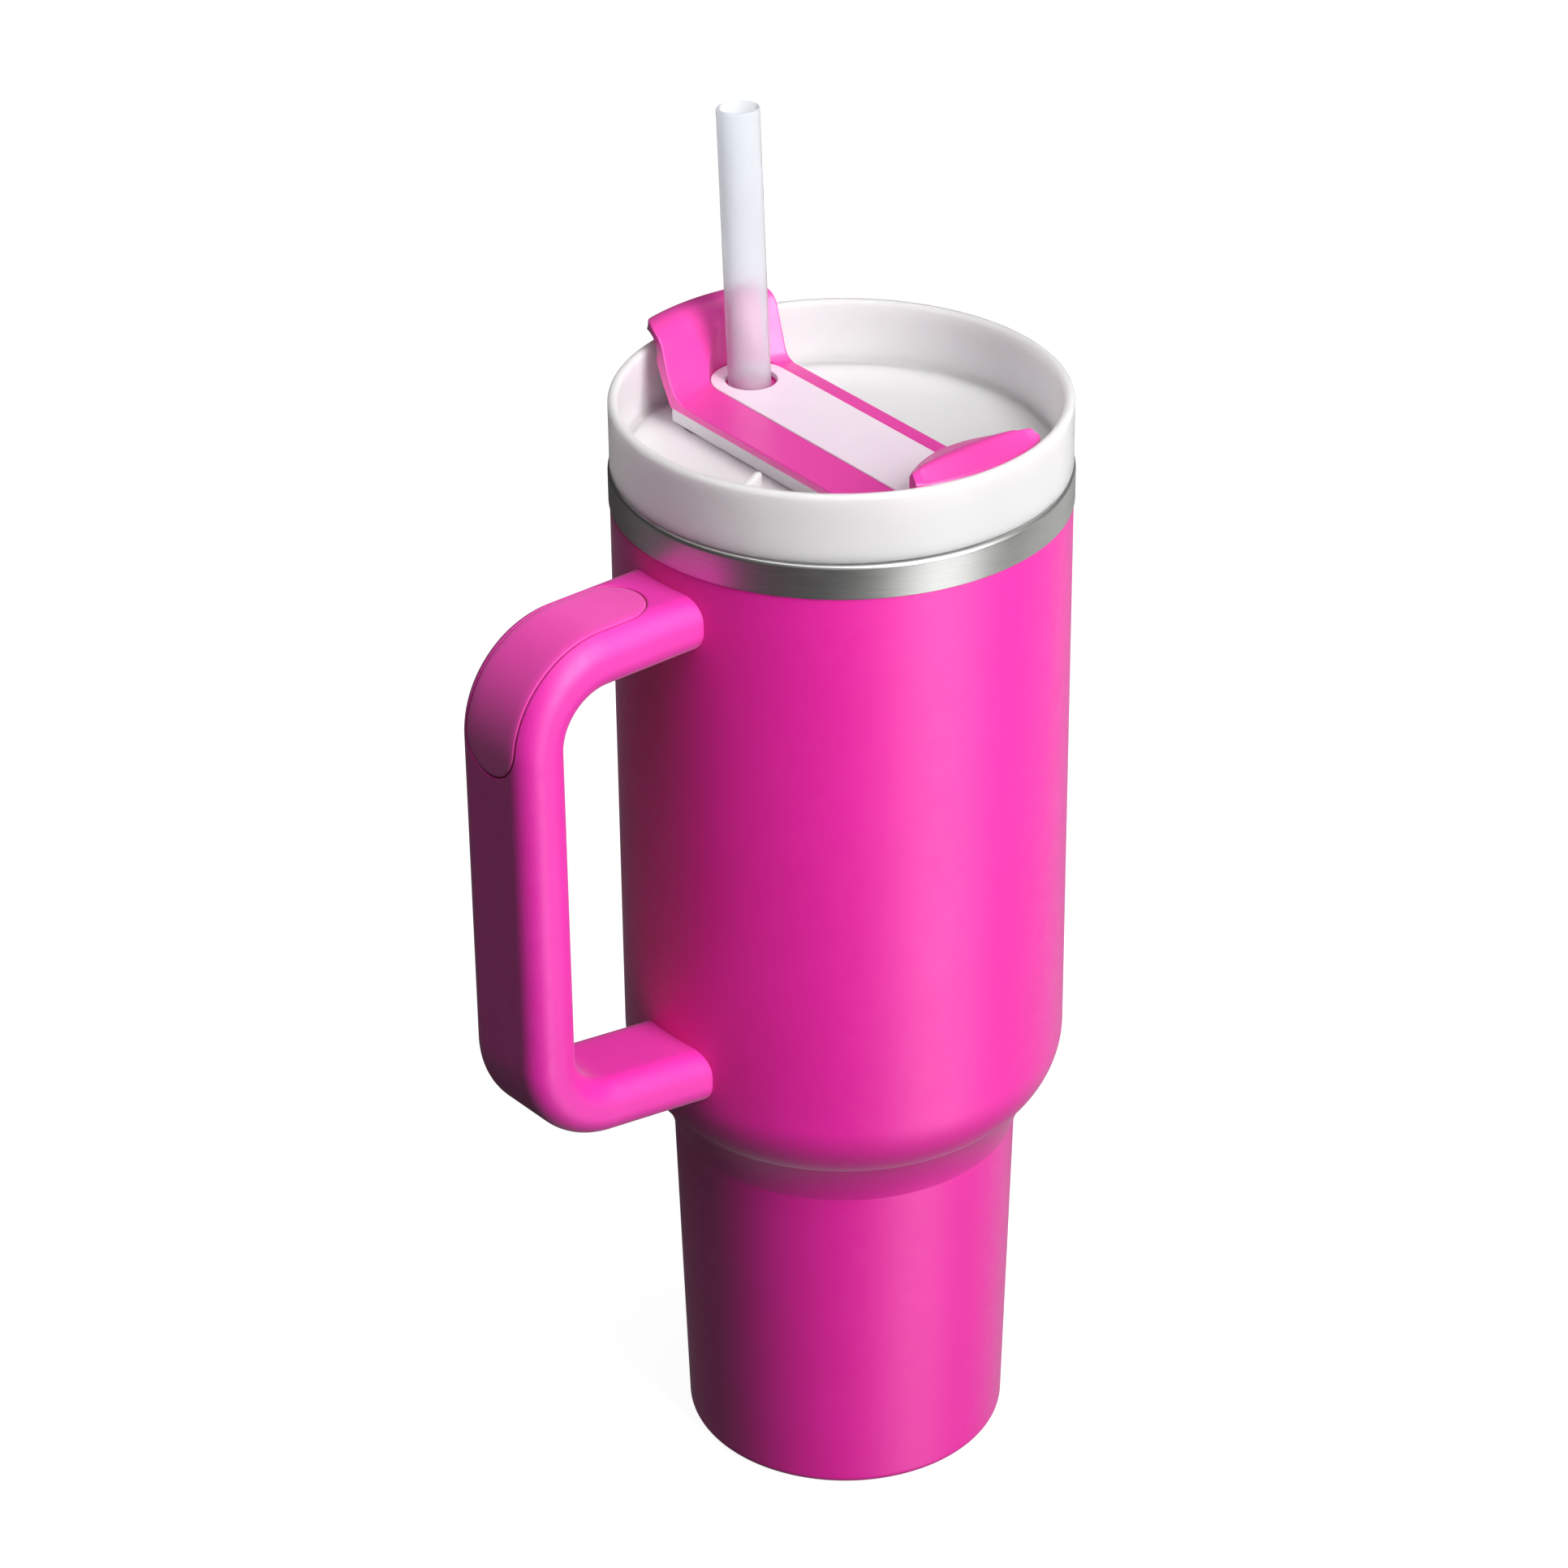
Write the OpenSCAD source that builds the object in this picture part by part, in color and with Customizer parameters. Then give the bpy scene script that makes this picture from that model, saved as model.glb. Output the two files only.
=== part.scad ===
// Insulated tumbler with a side handle, a screw-on lid, a turning cover and a straw.
// The base stands on z = 0, the cup's axis is +Z and the handle points along -X.
// Lengths are in millimetres and angles in degrees.

/* [Cup] */
// Radius of the painted upper body
body_r = 50.1; // [48:0.1:52]
// Height of the painted body, where the bare steel mouth starts
paint_top_z = 240.1; // [236:0.1:246]
// Height at which the upper body starts to round inwards
shoulder_z = 107.5; // [100:0.5:112]
// Radius of the rounded shoulder
shoulder_r = 20; // [12:0.5:26]
// How far the rounded shoulder turns before the straight taper
shoulder_turn = 50; // [35:1:65]
// Height where the taper meets the narrow lower body
step_z = 82; // [70:0.5:86]
// Radius of the lower body at the step
lower_top_r = 39.4; // [37:0.1:42]
// Radius of the lower body at the base
lower_bottom_r = 37.1; // [35:0.1:39]
// Radius of the rounded bottom edge
base_edge_r = 2; // [1.2:0.1:4]
// Thickness of the outer steel sheet with its powder coat
shell_t = 0.5; // [0.4:0.1:0.7]

/* [Mouth] */
// Radius of the bare steel mouth band
band_r = 50.4; // [50:0.1:52]
// Height of the top of the steel mouth
mouth_z = 247.9; // [246:0.1:254]
// Inside radius of the drinking mouth
mouth_in_r = 46.9; // [46:0.1:47.5]

/* [Handle] */
// Reach of the handle from the cup's axis
handle_reach = 96.8; // [90:0.2:104]
// Height of the top of the handle
handle_top_z = 235; // [228:0.5:238]
// Width of the grip
grip_w = 24.4; // [20:0.2:28]
// Thickness of the grip
grip_t = 13; // [11:0.2:15]
// Radius of the long edges of the grip
grip_edge_r = 5.5; // [3:0.1:6]
// Outer radius of the handle's two bends
bend_r = 24; // [18:0.5:30]
// Height of the centre of the lower bend
low_bend_z = 136; // [130:0.5:150]
// How far the lower arm drops towards the cup
low_arm_tilt = 8; // [0:1:15]
// Width of the soft inlay on the handle
inlay_w = 16; // [12:0.5:18]
// Distance from the cup's axis to the inlay's upper end
inlay_start = 56.5; // [54:0.5:64]
// Height of the inlay's lower end
inlay_low_z = 206; // [190:1:210]

/* [Lid] */
// Outside radius of the lid's ring
lid_r = 50; // [48:0.1:51]
// Height of the underside of the ring
ring_low_z = 248.2; // [248.2:0.1:249]
// Height of the ring's rim
rim_z = 263.8; // [262:0.1:266]
// Thickness of the ring's wall
ring_t = 2.3; // [2:0.1:3]
// Height of the lid's floor
floor_z = 249; // [248.8:0.1:250]

/* [Cover] */
// Direction of the straw end of the cover about the cup's axis
bar_angle = 87; // [80:1:95]
// Height of the top of the cover
cover_z = 255; // [254.5:0.1:256]
// Thickness of the cover's plate
cover_t = 2; // [1.8:0.1:3]
// Reach of the cover's wide side from the middle line of its insert
wide_side = 20.3; // [18:0.1:24]
// Reach of the cover's narrow side from the middle line of its insert
narrow_side = 12.9; // [11:0.1:15]
// Half of the width of the pale insert
insert_half_w = 8.9; // [8:0.1:9.5]
// Distance from the cup's axis to the straw hole
straw_hole_at = 32.4; // [31:0.1:34]

/* [Straw] */
// Outside diameter of the straw
straw_d = 9.5; // [8:0.1:10]
// Wall thickness of the straw
straw_t = 1; // [0.8:0.1:1.4]
// Height of the top of the straw
straw_top_z = 317.5; // [300:0.5:330]
// Height of the foot of the straw
straw_foot_z = 11; // [10:0.5:20]
// Outward lean of the straw
straw_lean = 2.6; // [0:0.1:3]

/* [Hidden] */
$fn = 96;
far = 200;             // longer than any part
slip = 0.1;            // gap between parts that are fixed together
step = 0.03;           // how much smaller a piece is than the one that it runs into
// cup
gap_t = 2.2;           // vacuum gap at the side
liner_t = 0.5;
liner_out = shell_t + gap_t;
liner_in = liner_out + liner_t;
liner_floor_z = 7.7;
liner_corner_r = 8;
base_hole_r = 31;
base_plate_r = 33.5;
dimple_r = 10;
dimple_h = 2;
seal_hole_r = 1;
// mouth
band_t = 1.9;
tongue_depth = 6;
thread_r = 0.9;
mouth_thread_z = [234, 238.4];
lid_thread_z = [236.2, 240.6];
thread_clear = 0.4;
// handle
half_t = grip_t / 2;
bend_mid_r = bend_r - half_t;
bend_x = handle_reach - bend_r;
high_bend_z = handle_top_z - bend_r;
inlay_depth = 1.2;
inlay_groove = 0.35;
screw_x = 62;          // upper screw's distance from the cup's axis
low_screw_at = 12;     // lower screw's distance from the lower bend, along the arm
screw_r = 1.95;
screw_head_r = 3.6;
screw_head_h = 2.2;
plug_r = 3.9;
plug_t = 0.9;
bracket_t = 2.4;
bracket_w = 12;
foot_t = 1.4;
foot_w = 16;
foot_h = 10;
low_foot_z = low_bend_z - bend_mid_r / cos(low_arm_tilt) - (bend_x - body_r) * tan(low_arm_tilt);
// lid
ring_in_r = lid_r - ring_t;
floor_low_z = floor_z - 2.2;
skirt_r = 44.9;
skirt_in_r = 42.6;
skirt_low_z = 233.5;
gasket_r = mouth_in_r - 0.3;
gasket_in_r = 44.2;
gasket_low_z = 244.2;
gasket_high_z = 247;
gasket_gap = 0.3;
pivot_r = 4;
pin_flange_z = 244.8;
pin_top_z = 252.4;
o_ring_r = 0.85;
stop_angle = bar_angle + 117;
stop_w = 1.6;
stop_len = 8.5;
stop_z = 262.8;
// the opening in the lid's floor, as angles from the cover's middle line at rest
slot_r = 32.8;
slot_half_w = 5.5;
slot_from = -10;
slot_to = 24;
// cover
cover_low_z = cover_z - cover_t;
cover_r = ring_in_r - 0.8;
fold_r = 38.2;
tab_t = 2;             // how far the tab's foot reaches out past the fold
backing_r = 43.5;      // block behind the tab's foot, where the insert's pocket runs into it
backing_in_r = 39.6;
backing_half_w = 10.9;
backing_top_z = 258;
lip_c = [47.6, 264.2];
lip_out_r = 5.2;
lip_t = 2.2;
lip_from = 50;
lip_to = 168;
pad_r = 24;
pad_c = [-57.5, -3.5];
pad_z = 265.2;
insert_t = 1;
insert_proud = 0.15;
insert_edge = 0.1;
hole_r = 5.7;
boss_low_z = 250.3;
boss_r = 7.9;
seal_low_z = 249.1;
seal_out_r = 40.6;
seal_in_r = 9.05;
seal_inset = 1.5;
grommet_r = 6.9;
grommet_h = 3;
// straw
straw_at = 33;         // distance of its axis from the cup's axis at the top of the cover

// ---------- shared shapes ----------

// Radius of the outside of the lower body at height z
function lower_r(z) = lower_bottom_r + (lower_top_r - lower_bottom_r) * z / step_z;

// Half section of the cup's outside, moved in by inset, standing on foot_z
module cup_section(inset, foot_z, corner_r, top_z) {
    corner_x = lower_r(foot_z + corner_r) - inset - corner_r;
    knee_z = step_z + inset / 3;
    centre = [body_r - shoulder_r, shoulder_z];
    arc_r = shoulder_r - inset;
    turn_end = centre + arc_r * [cos(shoulder_turn), -sin(shoulder_turn)];
    polygon([[0, foot_z], [corner_x, foot_z], [corner_x + corner_r, foot_z + corner_r],
        [lower_top_r - inset, knee_z], [0, knee_z]]);
    translate([corner_x, foot_z + corner_r])
        circle(r = corner_r);
    polygon([[0, knee_z], [lower_top_r - inset, knee_z], turn_end, centre, [0, shoulder_z]]);
    intersection() {
        translate(centre)
            circle(r = arc_r);
        polygon([centre, for (k = [0 : 3]) centre + 2 * arc_r
            * [cos(shoulder_turn * (1 - k / 3)), -sin(shoulder_turn * (1 - k / 3))]]);
    }
    translate([0, shoulder_z])
        square([body_r - inset, top_z - shoulder_z]);
}

// Ring of round section, used for thread beads and O-rings
module bead(ring_r, wire_r, z) {
    translate([0, 0, z])
        rotate_extrude()
            translate([ring_r, 0])
                circle(r = wire_r, $fn = 32);
}

module ring(out_r, in_r, low, high) {
    translate([0, 0, low])
        difference() {
            cylinder(r = out_r, h = high - low);
            translate([0, 0, -1])
                cylinder(r = in_r, h = high - low + 2);
        }
}

// Flat rounded rectangle, centred, built of exact circles and squares
module rounded_rect(wide, high, edge_r) {
    square([wide, high - 2 * edge_r], center = true);
    square([wide - 2 * edge_r, high], center = true);
    for (x = [-1, 1], y = [-1, 1])
        translate([x * (wide / 2 - edge_r), y * (high / 2 - edge_r)])
            circle(r = edge_r);
}

// Turns the children so that their +X lies along -X of the cup
module to_handle_side() {
    rotate([0, 0, 180])
        children();
}

// Turns the children so that their +X lies along the cover's middle line
module along_bar() {
    rotate([0, 0, bar_angle])
        children();
}

// ---------- cup ----------

module outer_shell() {
    color("mediumvioletred")
        rotate_extrude()
            difference() {
                cup_section(0, 0, base_edge_r, paint_top_z);
                cup_section(shell_t, shell_t, base_edge_r - shell_t, paint_top_z + 1);
                translate([0, -1])
                    square([base_hole_r, 3]);
            }
}

module inner_liner() {
    color("silver") {
        rotate_extrude()
            difference() {
                union() {
                    cup_section(liner_out, liner_floor_z - liner_t,
                        liner_corner_r + liner_t, mouth_z - 2);
                    mouth_section();
                }
                cup_section(liner_in, liner_floor_z, liner_corner_r, mouth_z + 1);
                translate([body_r - liner_out, shoulder_z])
                    square([band_r - band_t - body_r + liner_out, mouth_z - 3 - shoulder_z]);
            }
        for (z = mouth_thread_z)
            bead(mouth_in_r + 0.2, thread_r, z);
    }
}

// The mouth band with its rolled top and the tongue that the outer shell is welded to
module mouth_section() {
    translate([mouth_in_r, paint_top_z])
        square([band_r - mouth_in_r, mouth_z - 1 - paint_top_z]);
    translate([mouth_in_r + 1, mouth_z - 1])
        square([band_r - mouth_in_r - 2, 1]);
    for (x = [mouth_in_r + 1, band_r - 1])
        translate([x, mouth_z - 1])
            circle(r = 1, $fn = 32);
    translate([band_r - band_t, paint_top_z - tongue_depth])
        square([body_r - shell_t - 0.05 - band_r + band_t, tongue_depth]);
}

module base_plate() {
    color("mediumvioletred")
        difference() {
            union() {
                translate([0, 0, shell_t])
                    cylinder(r = base_plate_r, h = shell_t);
                translate([0, 0, shell_t])
                    cylinder(r = dimple_r, h = dimple_h + shell_t);
            }
            translate([0, 0, -1])
                cylinder(r = dimple_r - shell_t, h = dimple_h + shell_t + 1);
            cylinder(r = seal_hole_r, h = far);
        }
}

module vacuum_seal_bead() {
    top = shell_t + dimple_h;
    color("dimgray") {
        translate([0, 0, top - 0.8])
            cylinder(r = 3, h = 0.8);
        translate([0, 0, top - 0.8])
            cylinder(r = seal_hole_r - 0.05, h = 1.4);
    }
}

module getter_pellet() {
    color("gray")
        translate([16, 0, liner_floor_z - liner_t - 2])
            cylinder(r = 4.5, h = 2);
}

// ---------- handle ----------

// The whole handle as one bar bent twice, drawn along +X
module handle_bar() {
    translate([mouth_in_r - 4, 0, handle_top_z - half_t])
        rotate([0, 90, 0])
            linear_extrude(bend_x - mouth_in_r + 4)
                rounded_rect(grip_t, grip_w, grip_edge_r);
    translate([bend_x, 0, high_bend_z])
        bend(90);
    translate([bend_x + bend_mid_r, 0, low_bend_z])
        linear_extrude(high_bend_z - low_bend_z)
            rounded_rect(grip_t, grip_w, grip_edge_r);
    translate([bend_x, 0, low_bend_z])
        mirror([0, 0, 1])
            bend(90 - low_arm_tilt);
    in_low_arm()
        translate([-32, 0, -bend_mid_r])
            rotate([0, 90, 0])
                linear_extrude(32.9)
                    rounded_rect(grip_t - 2 * step, grip_w - 2 * step, grip_edge_r - step);
}

// One bend of the handle, from level with its centre upwards through an angle
module bend(turn) {
    rotate([90, 0, 0])
        rotate_extrude(angle = turn)
            translate([bend_mid_r, 0])
                rounded_rect(grip_t, grip_w, grip_edge_r);
}

// Frame of the tilted lower arm, with its origin at the centre of the lower bend
module in_low_arm() {
    translate([bend_x, 0, low_bend_z])
        rotate([0, -low_arm_tilt, 0])
            children();
}

// Band along the outside of the upper arm, the upper bend and the grip
module inlay_band(grow) {
    wide = inlay_w + 2 * grow;
    round_r = wide / 2;
    layer = inlay_depth;
    top_start = inlay_start + inlay_w / 2;
    low_end = inlay_low_z + inlay_w / 2;
    translate([top_start, -wide / 2, handle_top_z - layer])
        cube([bend_x - top_start, wide, 2 * layer]);
    translate([top_start, 0, handle_top_z - layer])
        cylinder(r = round_r, h = 2 * layer);
    translate([bend_x, 0, high_bend_z])
        rotate([90, 0, 0])
            rotate_extrude(angle = 90)
                translate([bend_r - layer, -wide / 2])
                    square([2 * layer, wide]);
    translate([handle_reach - layer, 0, low_end])
        rotate([0, 90, 0])
            cylinder(r = round_r, h = 2 * layer);
    if (low_end < high_bend_z)
        translate([handle_reach - layer, -wide / 2, low_end])
            cube([2 * layer, wide, high_bend_z - low_end]);
}

// Screw hole with a counterbore for the head and its plug, opening downwards
module screw_hole() {
    cylinder(r = screw_r + 0.25, h = grip_t - 3);
    translate([0, 0, -1])
        cylinder(r = plug_r, h = 1 + plug_t + screw_head_h + slip);
}

// Puts the children at the underside of each arm, below its screw
module at_screws() {
    translate([screw_x, 0, handle_top_z - grip_t])
        children();
    in_low_arm()
        translate([-low_screw_at, 0, -bend_mid_r - half_t])
            children();
}

// Room inside an arm for its bracket's plate
module bracket_plate(reach, grow) {
    translate([-grow - 1, -bracket_w / 2 - grow, half_t - bracket_t / 2 - grow])
        cube([reach + 1 + 2 * grow, bracket_w + 2 * grow, bracket_t + 2 * grow]);
}

// Curved foot that lies on the cup's wall, centred at height z
module bracket_foot(z, grow) {
    intersection() {
        ring(body_r + foot_t + grow, body_r, z - far / 2, z + far / 2);
        translate([0, -foot_w / 2 - grow, z - foot_h / 2 - grow])
            cube([far, foot_w + 2 * grow, foot_h + 2 * grow]);
    }
}

module upper_bracket_shape(grow) {
    reach = screw_x + 6 - body_r;
    translate([body_r, 0, handle_top_z - grip_t])
        bracket_plate(reach, grow);
    bracket_foot(handle_top_z - half_t, grow);
}

module lower_bracket_shape(grow) {
    reach = 26 - low_screw_at + 6;
    in_low_arm()
        translate([-26, 0, -bend_mid_r - half_t])
            bracket_plate(reach, grow);
    bracket_foot(low_foot_z, grow);
}

module cup_space() {
    translate([0, 0, 60])
        cylinder(r = body_r + slip / 2, h = far);
}

// Half space below the plane that divides the lower bend in two equal parts
module below_divide(lower) {
    translate([bend_x, 0, low_bend_z])
        rotate([0, (90 - low_arm_tilt) / 2, 0])
            translate([-far, -far / 2, -far - lower])
                cube([2 * far, far, far]);
}

// Grip, upper bend, upper arm and the first half of the lower bend
module handle_frame() {
    color("deeppink")
        to_handle_side()
            difference() {
                handle_bar();
                below_divide(0);
                inlay_band(inlay_groove);
                at_screws()
                    screw_hole();
                upper_bracket_shape(slip);
                cup_space();
            }
}

// Second half of the lower bend and the lower arm, one moulding with the frame in life
module handle_low_arm() {
    color("deeppink")
        to_handle_side()
            difference() {
                intersection() {
                    handle_bar();
                    below_divide(step);
                }
                at_screws()
                    screw_hole();
                lower_bracket_shape(slip);
                cup_space();
            }
}

module grip_inlay() {
    color("hotpink")
        to_handle_side()
            intersection() {
                handle_bar();
                inlay_band(0);
            }
}

module upper_bracket() {
    color("gray")
        to_handle_side()
            difference() {
                upper_bracket_shape(0);
                at_screws()
                    cylinder(r = screw_r + 0.02, h = grip_t);
                translate([0, 0, 60])
                    cylinder(r = body_r, h = far);
            }
}

module lower_bracket() {
    color("gray")
        to_handle_side()
            difference() {
                lower_bracket_shape(0);
                at_screws()
                    cylinder(r = screw_r + 0.02, h = grip_t);
                translate([0, 0, 60])
                    cylinder(r = body_r, h = far);
            }
}

module handle_screws() {
    color("silver")
        to_handle_side()
            at_screws()
                difference() {
                    union() {
                        translate([0, 0, plug_t])
                            cylinder(r = screw_head_r, h = screw_head_h);
                        translate([0, 0, plug_t])
                            cylinder(r = screw_r, h = grip_t - 4.2);
                    }
                    translate([0, 0, plug_t - 1])
                        cylinder(r = 1.4, h = 2.2, $fn = 6);
                }
}

module screw_plugs() {
    color("deeppink")
        to_handle_side()
            at_screws()
                cylinder(r = plug_r - 0.05, h = plug_t - 0.05);
}

// ---------- lid ----------

// Kidney-shaped opening that the straw passes and that the turned cover uncovers
module slot_area() {
    intersection() {
        difference() {
            circle(r = slot_r + slot_half_w);
            circle(r = slot_r - slot_half_w);
        }
        polygon([[0, 0], for (k = [0 : 4]) 2 * slot_r * [cos(slot_from + (slot_to - slot_from) * k / 4),
            sin(slot_from + (slot_to - slot_from) * k / 4)]]);
    }
    for (turn = [slot_from, slot_to])
        translate(slot_r * [cos(turn), sin(turn)])
            circle(r = slot_half_w - step);
}

module lid_section() {
    // ring wall with its round rim
    translate([ring_in_r, ring_low_z])
        square([ring_t, rim_z - ring_t / 2 - ring_low_z]);
    translate([ring_in_r + ring_t / 2, rim_z - ring_t / 2])
        circle(r = ring_t / 2, $fn = 48);
    // floor, and the flange that lies over the mouth
    translate([0, floor_low_z])
        square([gasket_in_r, floor_z - floor_low_z]);
    translate([0, gasket_high_z + gasket_gap])
        square([mouth_in_r - 0.4, floor_z - gasket_high_z - gasket_gap]);
    translate([0, ring_low_z])
        square([ring_in_r + 0.5, floor_z - ring_low_z]);
    // skirt that goes down inside the mouth, with the collar under the gasket
    translate([skirt_in_r, skirt_low_z])
        square([skirt_r - skirt_in_r, gasket_low_z - gasket_gap - skirt_low_z]);
    translate([skirt_in_r, gasket_low_z - gasket_gap - 1])
        square([mouth_in_r - 1.1 - skirt_in_r, 1]);
    translate([skirt_in_r, skirt_low_z])
        square([gasket_in_r - gasket_gap - skirt_in_r, floor_low_z - skirt_low_z]);
    // small fillet between the floor and the ring
    difference() {
        translate([ring_in_r - 1.5, floor_z - 0.1])
            square([1.6, 1.6]);
        translate([ring_in_r - 1.5, floor_z + 1.5])
            circle(r = 1.5, $fn = 48);
    }
}

module lid_body() {
    color("whitesmoke")
        difference() {
            union() {
                rotate_extrude()
                    lid_section();
                for (z = lid_thread_z)
                    bead(skirt_r, thread_r, z);
                rotate([0, 0, stop_angle])
                    translate([ring_in_r + 0.3 - stop_len, -stop_w / 2, floor_z - 0.5])
                        cube([stop_len, stop_w, stop_z - floor_z + 0.5]);
            }
            translate([0, 0, floor_low_z - 1])
                cylinder(r = pivot_r + 0.05, h = 4);
            along_bar()
                translate([0, 0, floor_low_z - 1])
                    linear_extrude(5)
                        slot_area();
        }
}

module lid_gasket() {
    color("lightgray")
        difference() {
            ring(gasket_r, gasket_in_r, gasket_low_z, gasket_high_z);
            rotate_extrude()
                translate([gasket_r + 0.1, (gasket_low_z + gasket_high_z) / 2])
                    circle(r = 0.6, $fn = 32);
        }
}

// ---------- cover ----------

// Plan of the cover: a band across the lid, wider on one side of its middle line
module band_area(wide, narrow, reach) {
    translate([-reach, -narrow])
        square([2 * reach, wide + narrow]);
}

// Straw axis frame: origin on the axis at the top of the cover, +Z along the straw
module along_straw() {
    along_bar()
        translate([straw_at, 0, cover_z])
            rotate([0, straw_lean, 0])
                children();
}

// Half section of the finger tab that rises from the fold and hooks over the rim
module tab_section() {
    mid_r = lip_out_r - lip_t / 2;
    in_r = lip_out_r - lip_t;
    // the wall ends inside the hook, a little back from both of its faces
    meet = [cos(lip_to - 6), sin(lip_to - 6)];
    polygon([[fold_r, cover_low_z], [fold_r + tab_t, cover_low_z], [lip_c.x - in_r - step, 262.6],
        lip_c + (in_r + step) * meet, lip_c + (lip_out_r - step) * meet, [fold_r, cover_z]]);
    intersection() {
        difference() {
            translate(lip_c)
                circle(r = lip_out_r);
            translate(lip_c)
                circle(r = in_r);
        }
        polygon([lip_c, for (k = [0 : 4]) lip_c + 2 * lip_out_r
            * [cos(lip_from + (lip_to - lip_from) * k / 4), sin(lip_from + (lip_to - lip_from) * k / 4)]]);
    }
    translate(lip_c + mid_r * [cos(lip_from), sin(lip_from)])
        circle(r = lip_t / 2 - step, $fn = 48);
}

// Lens-shaped thumb pad against the ring, at the end away from the straw
module pad_area(grow) {
    intersection() {
        circle(r = cover_r);
        translate(pad_c)
            circle(r = pad_r + grow);
    }
}

// Plan of the pale insert, with a round end about the straw hole
module insert_area(grow) {
    difference() {
        union() {
            translate([-cover_r, -insert_half_w - grow])
                square([cover_r + straw_hole_at, 2 * (insert_half_w + grow)]);
            translate([straw_hole_at, 0])
                circle(r = insert_half_w + grow);
        }
        translate(pad_c)
            circle(r = pad_r - grow + insert_edge);
    }
}

// Plan of the cover's plate, which ends in the foot of the tab at one end
module plate_area() {
    intersection() {
        band_area(wide_side, narrow_side, far);
        union() {
            circle(r = fold_r + tab_t / 2);
            intersection() {
                circle(r = cover_r);
                translate([-far, -far])
                    square([far, 2 * far]);
            }
        }
    }
}

// Plan of the seal under the cover, all round the pivot
module seal_area() {
    intersection() {
        difference() {
            circle(r = seal_out_r);
            circle(r = seal_in_r);
        }
        translate([-seal_out_r, -narrow_side + seal_inset])
            square([2 * seal_out_r, wide_side + narrow_side - 2 * seal_inset]);
    }
}

module cover() {
    color("deeppink")
        along_bar()
            difference() {
                union() {
                    translate([0, 0, cover_low_z])
                        linear_extrude(cover_t)
                            plate_area();
                    intersection() {
                        rotate_extrude()
                            tab_section();
                        translate([20, -narrow_side, 0])
                            cube([far, wide_side + narrow_side, far * 2]);
                    }
                    intersection() {
                        ring(backing_r, backing_in_r, cover_low_z + step, backing_top_z);
                        translate([20, -backing_half_w, 0])
                            cube([far, 2 * backing_half_w, far * 2]);
                    }
                    translate([0, 0, cover_low_z])
                        linear_extrude(pad_z - cover_low_z)
                            pad_area(0);
                    translate([straw_hole_at, 0, boss_low_z])
                        cylinder(r = boss_r, h = cover_low_z - boss_low_z + 0.5);
                    translate([0, 0, seal_low_z + 0.1])
                        cylinder(r = 9, h = cover_low_z - seal_low_z);
                }
                // pocket for the insert, cut into the foot of the tab as well
                translate([0, 0, cover_z - insert_t])
                    linear_extrude(insert_t + 8)
                        insert_area(insert_edge);
                // straw hole and the seat of its grommet
                translate([straw_hole_at, 0, boss_low_z - 1])
                    cylinder(r = hole_r, h = 8);
                translate([straw_hole_at, 0, boss_low_z - 1])
                    cylinder(r = grommet_r + 0.05, h = grommet_h + 1);
                // blind bore that holds the pivot pin
                translate([0, 0, seal_low_z - 1])
                    cylinder(r = pivot_r + 0.02, h = pin_top_z + 0.1 - seal_low_z + 1);
            }
}

module cover_insert() {
    color("lavenderblush")
        along_bar()
            translate([0, 0, cover_z - insert_t])
                linear_extrude(insert_t + insert_proud)
                    difference() {
                        insert_area(0);
                        translate([straw_hole_at, 0])
                            circle(r = hole_r);
                    }
}

module straw_grommet() {
    color("whitesmoke")
        difference() {
            along_bar()
                translate([straw_hole_at, 0, boss_low_z])
                    cylinder(r = grommet_r, h = grommet_h);
            along_straw()
                translate([0, 0, -far / 2])
                    cylinder(r = straw_d / 2 + 0.08, h = far);
        }
}

module cover_seal() {
    color("lightgray")
        along_bar()
            difference() {
                translate([0, 0, seal_low_z])
                    linear_extrude(cover_low_z - seal_low_z)
                        seal_area();
                translate([straw_hole_at, 0, 0])
                    cylinder(r = boss_r + slip / 2, h = far * 2);
            }
}

module pivot_pin() {
    color("whitesmoke") {
        translate([0, 0, pin_flange_z - 1.2])
            cylinder(r = 7, h = 1.2);
        translate([0, 0, pin_flange_z - 1.2])
            cylinder(r = pivot_r, h = pin_top_z - pin_flange_z + 1.2);
    }
}

module pivot_o_ring() {
    color("dimgray")
        bead(pivot_r + 0.12 + o_ring_r, o_ring_r, pin_flange_z + 0.05 + o_ring_r);
}

module straw() {
    above = (straw_top_z - cover_z) / cos(straw_lean);
    below = (cover_z - straw_foot_z) / cos(straw_lean);
    mid_r = (straw_d - straw_t) / 2;
    color("lavender")
        along_straw()
            rotate_extrude() {
                translate([straw_d / 2 - straw_t, -below + straw_t / 2])
                    square([straw_t, above + below - straw_t]);
                for (z = [-below + straw_t / 2, above - straw_t / 2])
                    translate([mid_r, z])
                        circle(r = straw_t / 2, $fn = 32);
            }
}

outer_shell();
inner_liner();
base_plate();
vacuum_seal_bead();
getter_pellet();
handle_frame();
handle_low_arm();
grip_inlay();
upper_bracket();
lower_bracket();
handle_screws();
screw_plugs();
lid_body();
lid_gasket();
cover();
cover_insert();
straw_grommet();
cover_seal();
pivot_pin();
pivot_o_ring();
straw();
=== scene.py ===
import math

import bmesh
import bpy
from mathutils import Matrix, Vector
from mathutils.geometry import delaunay_2d_cdt


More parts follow.
